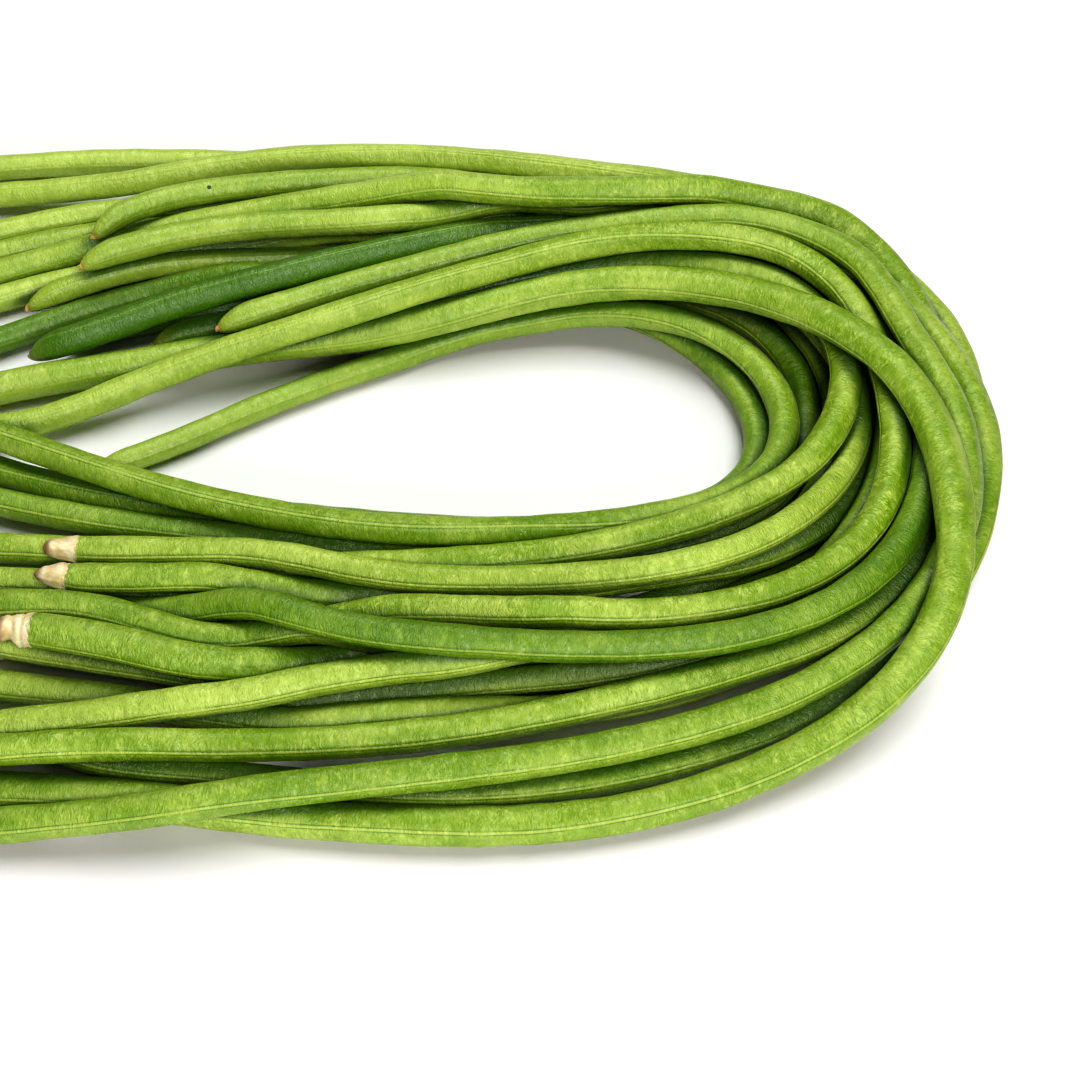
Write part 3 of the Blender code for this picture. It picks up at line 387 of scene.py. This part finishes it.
def make_pod(node, axes):
    """A pod's skin, and what its nib and stalk need to know of it."""
    random = np.random.default_rng(4000 + int(node[-2:]))
    _, _, seam_far, seam_near = POD_LOOKS[node]
    points, radii, along = axes[node]
    length = along[-1]
    side, top = side_and_top(points)
    around = seam_angles()
    # A pod's far arm shows the viewer the loop's inner side, and its near arm the outer side
    turn = np.interp(along / length, ARM_SHARES, [seam_far, -seam_near])
    turn = np.radians(turn + SEAM_WANDER * waves(along, random, *SEAM_WAVES))
    radius = radii * swelling(along, random) * end_profile(along + 0.0002, NIB_TAPER)
    seam_distance = np.abs((around + math.pi / 2) % math.pi - math.pi / 2)
    seam_metres = seam_distance[None, :] * radii[:, None]
    distance = radius[:, None] + seam_relief(seam_metres, along)
    angle = around[None, :] + turn[:, None]
    # The nib leans to the viewer's side
    lean = NIB_LEAN * radii * np.clip(1.0 - along / (NIB_TAPER * 0.9), 0, 1) ** 1.6
    near = np.sign(side[0, 1]) * -1.0
    middle = points + side * (near * lean)[:, None] - top * (NIB_DROOP * lean)[:, None]
    grid = (middle[:, None, :] + side[:, None, :] * (np.cos(angle) * distance)[:, :, None]
            + top[:, None, :] * (np.sin(angle) * distance)[:, :, None])
    grid[:, :, 2] = np.maximum(grid[:, :, 2], 0.0)
    ends = np.array([middle[0] + (middle[0] - middle[2]) * 0.1, middle[-1]])
    ends[:, 2] = np.maximum(ends[:, 2], LOWEST_END)
    mesh = grid_mesh("green_" + node, grid, ends)
    from_nib = np.broadcast_to(along[:, None], angle.shape)
    straight = np.stack([from_nib, radii[:, None] * np.cos(around)[None, :],
                         radii[:, None] * np.sin(around)[None, :]], axis=2)
    # How strong the painted shade between pods is at each corner of the skin
    painted_shade = painted_shade_shares(grid, middle, node, axes)
    add_values(mesh, "straight", straight, [(0.0, 0.0, 0.0), (length, 0.0, 0.0)])
    add_values(mesh, "seam", seam_metres, [0.01, 0.01])
    add_values(mesh, "painted_shade", painted_shade, [painted_shade[0].mean(), painted_shade[-1].mean()])
    add_values(mesh, "from_nib", from_nib, [0.0, length])
    add_values(mesh, "from_stalk", length - from_nib, [length, 0.0])
    shape = {"points": points, "radii": radii, "middle": middle, "radius": radius}
    return place_object("green_" + node, mesh), shape


def make_nib(node, shape):
    """The small tan point at a pod's narrow end."""
    middle = shape["middle"]
    out = middle[0] - middle[3]
    out = out / np.linalg.norm(out)
    random = np.random.default_rng(6000 + int(node[-2:]))
    grid = np.zeros((NIB_ROWS, NIB_SIDES, 3))
    around = np.linspace(0.0, 2 * math.pi, NIB_SIDES, endpoint=False)
    across = np.cross(out, (0.0, 0.0, 1.0))
    across /= np.linalg.norm(across)
    over = np.cross(across, out)
    lumps = (1.0 + 0.12 * np.sin(3 * around + random.uniform(0, 6))
             + 0.08 * np.sin(5 * around + random.uniform(0, 6)))
    base = middle[1] - out * NIB_ROOT
    for row in range(NIB_ROWS):
        t = row / (NIB_ROWS - 1)
        reach = (NIB_ROOT + NIB_LENGTH) * t
        wide = NIB_RADIUS * (1.05 - 0.72 * t ** 2.6) * (1.0 + 0.08 * math.sin(7 * t))
        lean = across * (0.00025 * t * t) * random.choice([-1.0, 1.0])
        ring = np.cos(around)[:, None] * across + np.sin(around)[:, None] * over
        grid[row] = base + out * reach + lean + ring * (wide * lumps)[:, None]
    grid[:, :, 2] = np.maximum(grid[:, :, 2], 0.0)
    ends = np.array([base, grid[-1].mean(axis=0) + out * 0.00012])
    return place_object("nib_" + node, grid_mesh("nib_" + node, grid, ends))


def knuckles(share, around, random, rough):
    """A few round knobs and dents, at places of their own on a stalk."""
    lobes = np.zeros((len(share), len(around)))
    for _ in range(STALK_KNOBS):
        place, angle = random.uniform(0.1, 0.95), random.uniform(0, 2 * math.pi)
        tall, wide = random.uniform(0.10, 0.17), random.uniform(0.45, 0.9)
        turned = (around - angle + math.pi) % (2 * math.pi) - math.pi
        bump = hill(share, place, tall)[:, None] * hill(turned, 0.0, wide)[None, :]
        lobes += bump * random.uniform(-0.09, 0.12) * rough
    return lobes


def collar_rows(pod_shape, side, top, around, torn):
    """The rows of dry skin that follow the pod's shoulder out to a torn edge."""
    pod_points, pod_radius = pod_shape["points"], pod_shape["radius"]
    last = len(pod_points) - 1
    collar = []
    for lift, reach in COLLAR_ROWS:
        back = torn * reach / RINGS_APART
        low = np.clip(last - np.floor(back).astype(int), 1, last)
        part = back - np.floor(back)
        row = np.zeros((STALK_SIDES, 3))
        for k in range(STALK_SIDES):
            a, b = low[k], low[k] - 1
            centre = pod_points[a] * (1 - part[k]) + pod_points[b] * part[k]
            wide = pod_radius[a] * (1 - part[k]) + pod_radius[b] * part[k] + lift
            row[k] = centre + side * math.cos(around[k]) * wide + top * math.sin(around[k]) * wide
        collar.append(row)
    return np.array(collar)


def make_stalk(node, pod_shape):
    """The pale stump, with knuckles, and a ragged collar of dry skin over the pod's end."""
    random = np.random.default_rng(5000 + int(node[-2:]))
    rings = rings_of(node)
    points = np.vstack([rings[0][0], np.array([middle_and_radius(ring)[0] for ring in rings[1:]])])
    step = lengths_along(points)[-1] / STALK_ROWS
    points, _, along = smooth_curve(points, np.zeros(len(points)), step)
    side, top = side_and_top(points)
    around = np.linspace(0.0, 2 * math.pi, STALK_SIDES, endpoint=False)
    length = along[-1]
    share = along / length
    profile = CONE_PROFILE if node in CONED else KNOBBLY_PROFILE if node in KNOBBED else STALK_PROFILE
    widths = pod_shape["radii"][-4] * np.interp(share, *zip(*profile))
    lobes = knuckles(share, around, random, KNUCKLED.get(node, USUAL_KNUCKLES))
    fibres = (0.018 * np.sin(11 * around + random.uniform(0, 6))
              + 0.014 * np.sin(19 * around + random.uniform(0, 6)))
    distance = widths[:, None] * (0.96 + lobes + fibres[None, :] * np.clip(share * 2, 0, 1)[:, None])
    grid = (points[:, None, :] + side[:, None, :] * (np.cos(around)[None, :] * distance)[:, :, None]
            + top[:, None, :] * (np.sin(around)[None, :] * distance)[:, :, None])
    torn = COLLAR_REACH * (0.50 + 0.26 * np.sin(2 * around + random.uniform(0, 6))
                           + 0.16 * np.sin(7 * around + random.uniform(0, 6))
                           + 0.12 * np.sin(15 * around + random.uniform(0, 6)))
    torn = np.clip(torn, 0.0001, COLLAR_REACH)
    grid = np.concatenate([grid, collar_rows(pod_shape, side[-1], top[-1], around, torn)])
    grid[:, :, 2] = np.maximum(grid[:, :, 2], 0.0)
    ends = np.array([points[0] + (points[0] - points[1]) * 0.2, grid[-1].mean(axis=0)])
    ends[:, 2] = np.maximum(ends[:, 2], LOWEST_END)
    mesh = grid_mesh("pale_" + node, grid, ends)
    rows = np.concatenate([along, length + np.linspace(0.0002, 0.0012, len(COLLAR_ROWS))])
    from_point = np.broadcast_to(rows[:, None], grid.shape[:2])
    straight = np.stack([from_point, np.broadcast_to(0.003 * np.cos(around)[None, :], grid.shape[:2]),
                         np.broadcast_to(0.003 * np.sin(around)[None, :], grid.shape[:2])], axis=2)
    add_values(mesh, "from_point", from_point, [0.0, length])
    add_values(mesh, "straight", straight, [(0.0, 0.0, 0.0), (length, 0.0, 0.0)])
    return place_object("pale_" + node, mesh)


class Nodes:
    """A material's nodes, with short calls to add and join them."""

    def __init__(self, name):
        self.material = bpy.data.materials.new(name)
        self.material.use_nodes = True
        self.tree = self.material.node_tree
        self.shader = self.tree.nodes["Principled BSDF"]

    def add(self, kind, **settings):
        node = self.tree.nodes.new(kind)
        for key, value in settings.items():
            setattr(node, key, value)
        return node

    def put(self, value, socket):
        if isinstance(value, bpy.types.NodeSocket):
            self.tree.links.new(value, socket)
        else:
            socket.default_value = value

    def shade(self, **values):
        """Sets or joins the shader's sockets, with _ for each space in a name."""
        for name, value in values.items():
            self.put(value, self.shader.inputs[name.replace("_", " ")])

    def attribute(self, name):
        node = self.add("ShaderNodeAttribute", attribute_type="GEOMETRY", attribute_name=name)
        return node.outputs["Fac"] if name != "straight" else node.outputs["Vector"]

    def places(self):
        return self.add("ShaderNodeTexCoord").outputs["Object"]

    def maths(self, operation, *values):
        node = self.add("ShaderNodeMath", operation=operation)
        for value, socket in zip(values, node.inputs):
            self.put(value, socket)
        return node.outputs[0]

    def times(self, *values):
        """The product of two or more numbers."""
        product = values[0]
        for value in values[1:]:
            product = self.maths("MULTIPLY", product, value)
        return product

    def vector(self, operation, a, b):
        node = self.add("ShaderNodeVectorMath", operation=operation)
        self.put(a, node.inputs[0])
        self.put(b, node.inputs[1])
        return node.outputs[0]

    def stretched(self, vector, factors):
        return self.vector("MULTIPLY", vector, factors)

    def distance(self, a, b):
        node = self.add("ShaderNodeVectorMath", operation="DISTANCE")
        self.put(a, node.inputs[0])
        self.put(b, node.inputs[1])
        return node.outputs["Value"]

    def curl(self, vector, scale, reach):
        """Places moved about by a broad noise, so that what is drawn with them curls."""
        node = self.add("ShaderNodeTexNoise", noise_dimensions="3D")
        self.put(vector, node.inputs["Vector"])
        node.inputs["Scale"].default_value = scale
        node.inputs["Detail"].default_value = 1.0
        centred = self.vector("SUBTRACT", node.outputs["Color"], (0.5, 0.5, 0.5))
        return self.vector("ADD", vector, self.stretched(centred, (reach, reach, reach)))

    def noise(self, vector, scale, detail=2.0, roughness=0.5):
        node = self.add("ShaderNodeTexNoise", noise_dimensions="3D")
        self.put(vector, node.inputs["Vector"])
        node.inputs["Scale"].default_value = scale
        node.inputs["Detail"].default_value = detail
        node.inputs["Roughness"].default_value = roughness
        return node.outputs["Fac"]

    def ramp(self, value, start, end, low=0.0, high=1.0):
        node = self.add("ShaderNodeMapRange", interpolation_type="SMOOTHSTEP")
        self.put(value, node.inputs["Value"])
        node.inputs["From Min"].default_value = start
        node.inputs["From Max"].default_value = end
        node.inputs["To Min"].default_value = low
        node.inputs["To Max"].default_value = high
        return node.outputs["Result"]

    def mix(self, factor, a, b):
        node = self.add("ShaderNodeMix", data_type="RGBA")
        self.put(factor, node.inputs[0])
        for value, socket in ((a, node.inputs[6]), (b, node.inputs[7])):
            self.put(value if isinstance(value, bpy.types.NodeSocket) else (*value, 1.0), socket)
        return node.outputs[2]

    def bump(self, height, distance, strength=1.0, normal=None):
        node = self.add("ShaderNodeBump")
        node.inputs["Distance"].default_value = distance
        node.inputs["Strength"].default_value = strength
        self.put(height, node.inputs["Height"])
        if normal is not None:
            self.put(normal, node.inputs["Normal"])
        return node.outputs["Normal"]


def mixed(a, b, share):
    return tuple(x * (1 - share) + y * share for x, y in zip(a, b))


def greens(node):
    """A pod's own green, with a lighter and a darker one for its markings."""
    deep = POD_LOOKS[node][0]
    if deep < 0.0:
        base = mixed(LIME, PALE, -deep)
    elif deep < LEAF_DEPTH:
        base = mixed(LIME, LEAF, deep / LEAF_DEPTH)
    else:
        base = mixed(LEAF, DEEP, (deep - LEAF_DEPTH) / (1.0 - LEAF_DEPTH))
    light = mixed(PALE, LIME, min(max(deep, 0.0) / 0.9, 1.0))
    return base, light, mixed(base, DEEP, 0.45)


def patched(nodes, straight, blotches, base, light, dark):
    """Broad patches, and blotches a few millimetres wide."""
    patches = nodes.noise(nodes.stretched(straight, (1.0, 2.2, 2.2)), PATCH_SCALE, 3.0)
    colour = nodes.mix(nodes.ramp(patches, 0.35, 0.72), base, mixed(base, light, 0.55))
    colour = nodes.mix(nodes.ramp(blotches, 0.54, 0.72, 0.0, 0.60), colour, mixed(base, dark, 0.7))
    return nodes.mix(nodes.ramp(blotches, 0.46, 0.28, 0.0, 0.50), colour, light)


def young_end(nodes, node, colour, from_nib, young, light):
    """The narrow end: painted shade in deep green on some pods, paler on the others."""
    if node in SHADE_PAINTED_ENDS:
        # Painted shade: the end darkens to deep green where it lies in shade
        return nodes.mix(nodes.times(nodes.ramp(from_nib, 0.17, 0.09), SHADE_PAINTED_ENDS[node]), colour, DEEP)
    return nodes.mix(nodes.times(young, 0.35), colour, mixed(light, LIME, 0.25))


def finely_marked(nodes, node, colour, straight, wisps, pits, grown, light, dark):
    """Wisps across the pod, which thin out towards the young end, with pits and specks."""
    streaky = POD_LOOKS[node][1]
    clusters = nodes.noise(nodes.stretched(straight, (1.0, 1.6, 1.6)), CLUSTER_SCALE)
    streaks = nodes.times(nodes.ramp(wisps, 0.47, 0.66), nodes.ramp(clusters, 0.38, 0.64, 0.12, 1.0), grown)
    colour = nodes.mix(nodes.times(streaks, 0.85 * streaky), colour, light)
    colour = nodes.mix(nodes.times(nodes.ramp(wisps, 0.44, 0.30, 0.0, 0.45), grown), colour, dark)
    colour = nodes.mix(nodes.ramp(pits, 0.60, 0.74, 0.0, 0.30), colour, light)
    specks = nodes.noise(straight, SPECK_SCALE, 1.0)
    return nodes.mix(nodes.ramp(specks, 0.74, 0.80, 0.0, 0.45), colour, dark)


def seamed(nodes, colour, straight, from_nib, light, dark):
    """The seams: a pale ridge between two fine dark lines, fainter near the nib."""
    seam = nodes.attribute("seam")
    plain = nodes.ramp(from_nib, 0.05, 0.22, 0.25, 1.0)
    ridge = nodes.times(nodes.ramp(seam, 0.00040, 0.00012), 0.70, plain)
    colour = nodes.mix(ridge, colour, mixed(light, YELLOW, 0.35))
    off_line = nodes.maths("ABSOLUTE", nodes.maths("SUBTRACT", seam, 0.00046))
    breaks = nodes.noise(nodes.stretched(straight, (1.0, 3.0, 3.0)), BREAK_SCALE)
    line = nodes.times(nodes.ramp(off_line, 0.00020, 0.00004), nodes.ramp(breaks, 0.30, 0.55))
    return nodes.mix(nodes.times(line, nodes.times(plain, 0.85)), colour, mixed(dark, DEEP, 0.5))


def both_ends(nodes, colour, from_nib, wisps, base):
    """Yellow, then tan, towards the nib, and a torn edge of dry skin at the stalk."""
    yellowed = nodes.times(nodes.ramp(from_nib, 0.0075, 0.0004), 0.40)
    colour = nodes.mix(yellowed, colour, mixed(YELLOW, base, 0.35))
    tanned = nodes.times(nodes.ramp(from_nib, 0.0011, 0.0002), 0.55)
    colour = nodes.mix(tanned, colour, TAN)
    torn = nodes.maths("ADD", nodes.attribute("from_stalk"), nodes.times(wisps, -0.0016))
    return nodes.mix(nodes.ramp(torn, 0.0006, -0.0002, 0.0, 0.85), colour, CREAM)


def pod_material(node):
    nodes = Nodes("skin_" + node)
    base, light, dark = greens(node)
    # Each pod takes its noise from another place
    straight = nodes.vector("ADD", nodes.attribute("straight"), (0.37 * int(node[-2:]), 0.0, 0.0))
    from_nib = nodes.attribute("from_nib")
    young = nodes.ramp(from_nib, 0.26, 0.05)
    grown = nodes.ramp(young, 0.0, 1.0, 1.0, 0.55)
    blotches = nodes.noise(nodes.stretched(straight, (1.0, 0.6, 0.6)), BLOTCH_SCALE, 3.0, 0.6)
    curled = nodes.stretched(nodes.curl(straight, CURL_SCALE, CURL_REACH), (1.0, 0.30, 0.30))
    wisps = nodes.noise(curled, WISP_SCALE, 2.5, 0.6)
    pits = nodes.noise(straight, PIT_SCALE, 2.0, 0.6)
    colour = patched(nodes, straight, blotches, base, light, dark)
    colour = young_end(nodes, node, colour, from_nib, young, light)
    colour = finely_marked(nodes, node, colour, straight, wisps, pits, grown, light, dark)
    colour = seamed(nodes, colour, straight, from_nib, light, dark)
    # Painted shade: the colour darkens towards a near-black green where neighbouring pods keep the light off
    painted_gap_shade = nodes.ramp(nodes.attribute("painted_shade"), 0.16, 0.68, 0.0, 0.85)
    colour = nodes.mix(painted_gap_shade, colour, mixed(DEEP, SHADE_AND_SPECK_BLACK, 0.45))
    colour = both_ends(nodes, colour, from_nib, wisps, base)
    if node in SPECKED:
        apart = nodes.distance(nodes.places(), SPECKED[node])
        colour = nodes.mix(nodes.ramp(apart, 0.00070, 0.00045), colour, mixed(BROWN, SHADE_AND_SPECK_BLACK, 0.8))
    relief = nodes.bump(blotches, 0.00060, 0.9)
    relief = nodes.bump(nodes.times(wisps, grown), 0.00040, 1.0, relief)
    relief = nodes.bump(pits, 0.00007, 0.7, relief)
    nodes.shade(Base_Color=colour, Roughness=nodes.ramp(wisps, 0.25, 0.75, 0.34, 0.50), Normal=relief)
    nodes.shade(Subsurface_Weight=0.06, Subsurface_Radius=(0.7, 1.0, 0.25), Subsurface_Scale=0.0016)
    nodes.shade(Specular_IOR_Level=0.65, Coat_Weight=0.05, Coat_Roughness=0.30)
    return nodes.material


def nib_material():
    nodes = Nodes("nib_tan")
    coordinates = nodes.places()
    patches = nodes.noise(coordinates, 1400.0, 3.0)
    colour = nodes.mix(nodes.ramp(patches, 0.35, 0.65), TAN, mixed(YELLOW, TAN, 0.35))
    colour = nodes.mix(nodes.ramp(nodes.noise(coordinates, 2600.0), 0.60, 0.72, 0.0, 0.4), colour, BROWN)
    nodes.shade(Base_Color=colour, Roughness=0.60, Normal=nodes.bump(patches, 0.00010, 0.7))
    return nodes.material


def stalk_material(node):
    nodes = Nodes("straw_" + node)
    straight = nodes.vector("ADD", nodes.attribute("straight"), (0.53 * int(node[-2:]), 0.1, 0.0))
    patches = nodes.noise(straight, 330.0, 4.0, 0.6)
    colour = nodes.mix(nodes.ramp(patches, 0.40, 0.62), CREAM, STRAW)
    blush = nodes.noise(nodes.vector("ADD", straight, (3.0, 1.0, 2.0)), 260.0)
    colour = nodes.mix(nodes.ramp(blush, 0.52, 0.68, 0.0, 0.65), colour, PINK)
    fibres = nodes.noise(nodes.stretched(straight, (0.22, 1.0, 1.0)), 2600.0, 3.0, 0.6)
    colour = nodes.mix(nodes.ramp(fibres, 0.52, 0.75, 0.0, 0.45), colour, mixed(STRAW, BROWN, 0.35))
    # The free end is dry and brown, with a ragged edge
    ragged = nodes.maths("ADD", nodes.attribute("from_point"), nodes.times(patches, -0.0022))
    colour = nodes.mix(nodes.ramp(ragged, 0.0022, -0.0004, 0.0, 0.92), colour, mixed(BROWN, TAN, 0.25))
    relief = nodes.bump(fibres, 0.00012, 0.7)
    relief = nodes.bump(patches, 0.00035, 0.6, relief)
    nodes.shade(Base_Color=colour, Roughness=0.62, Normal=relief)
    nodes.shade(Subsurface_Weight=0.15, Subsurface_Radius=(1.0, 0.7, 0.4), Subsurface_Scale=0.0012)
    return nodes.material


def paper_material():
    nodes = Nodes("paper_white")
    coordinates = nodes.places()
    faint = nodes.ramp(nodes.noise(coordinates, 9.0), 0.3, 0.7, 0.0, 0.35)
    colour = nodes.mix(faint, PAPER, mixed(PAPER, GREYER_PAPER, 0.5))
    # Far from the bunch, where the lamps don't reach, the paper stays pale by a glow of its own
    glow = nodes.ramp(nodes.distance(coordinates, (0.0, 0.0, 0.0)), 0.40, 1.50, 0.0, 0.80)
    nodes.shade(Base_Color=colour, Roughness=0.75, Specular_IOR_Level=0.15, Emission_Strength=glow)
    return nodes.material


def dress(piece, material, node):
    piece.data.materials.append(material)
    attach(piece, "root")
    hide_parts(node)


def make_bunch():
    nib_skin = nib_material()
    pieces = []
    axes = {node: pod_axis(node) for node in POD_LOOKS}
    for node in sorted(POD_LOOKS):
        pod, shape = make_pod(node, axes)
        dress(pod, pod_material(node), node)
        nib = make_nib(node, shape)
        dress(nib, nib_skin, node)
        stalk_node = node.replace("pod", "stalk")
        stalk = make_stalk(stalk_node, shape)
        dress(stalk, stalk_material(stalk_node), stalk_node)
        pieces += [pod, nib, stalk]
    return pieces


def make_floor():
    mesh = bpy.data.meshes.new("floor")
    signs = ((-1, -1), (1, -1), (1, 1), (-1, 1))
    corners = [(x * PAPER_HALF, y * PAPER_HALF, -PAPER_DEPTH) for x, y in signs]
    mesh.from_pydata(corners, [], [(0, 1, 2, 3)])
    mesh.materials.append(paper_material())
    floor = place_object("floor", mesh)
    return floor


def add_lamps(lamps, group_name, lit):
    """Lamps that shine on the pieces named, and on nothing else."""
    group = bpy.data.collections.new(group_name)
    for piece in lit:
        group.objects.link(piece)
    for name, (place, size, power) in lamps.items():
        light = bpy.data.lights.new(name, "AREA")
        light.shape = "DISK"
        light.size = size
        light.energy = power
        lamp = bpy.data.objects.new(name, light)
        lamp.location = place
        lamp.rotation_euler = (LIGHT_AIM - Vector(place)).to_track_quat("-Z", "Y").to_euler()
        bpy.context.scene.collection.objects.link(lamp)
        lamp.light_linking.receiver_collection = group


def make_light(pieces, floor):
    world = bpy.data.worlds.new("soft_room")
    world.use_nodes = True
    background = world.node_tree.nodes["Background"]
    background.inputs["Color"].default_value = (1.0, 1.0, 1.0, 1.0)
    background.inputs["Strength"].default_value = ROOM_LIGHT
    bpy.context.scene.world = world
    # The bunch is lit from the front, and more weakly from the back and from low in front
    add_lamps(BUNCH_LAMPS, "bunch", pieces)
    # The paper is lit by lamps of its own, so that the shade beside the bunch is pale and soft
    add_lamps(PAPER_LAMPS, "paper", [floor])
    bpy.data.lights["fill"].color = FILL_COLOUR


def make_camera():
    camera = bpy.data.cameras.new("camera")
    camera.sensor_width = SENSOR_WIDTH
    camera.lens = SENSOR_WIDTH / 2 / math.tan(VIEW_WIDTH / 2)
    camera.clip_start = 0.01
    camera.clip_end = 20.0
    back = Vector((0.0, -math.cos(VIEW_ELEVATION), math.sin(VIEW_ELEVATION)))
    stand = bpy.data.objects.new("camera", camera)
    stand.location = VIEW_TARGET + back * VIEW_DISTANCE
    stand.rotation_euler = (-back).to_track_quat("-Z", "Y").to_euler()
    bpy.context.scene.collection.objects.link(stand)
    bpy.context.scene.camera = stand


make_camera()
paper = make_floor()
make_light(make_bunch(), paper)
bpy.context.scene.view_settings.view_transform = "Standard"
bpy.context.scene.view_settings.look = "High Contrast"
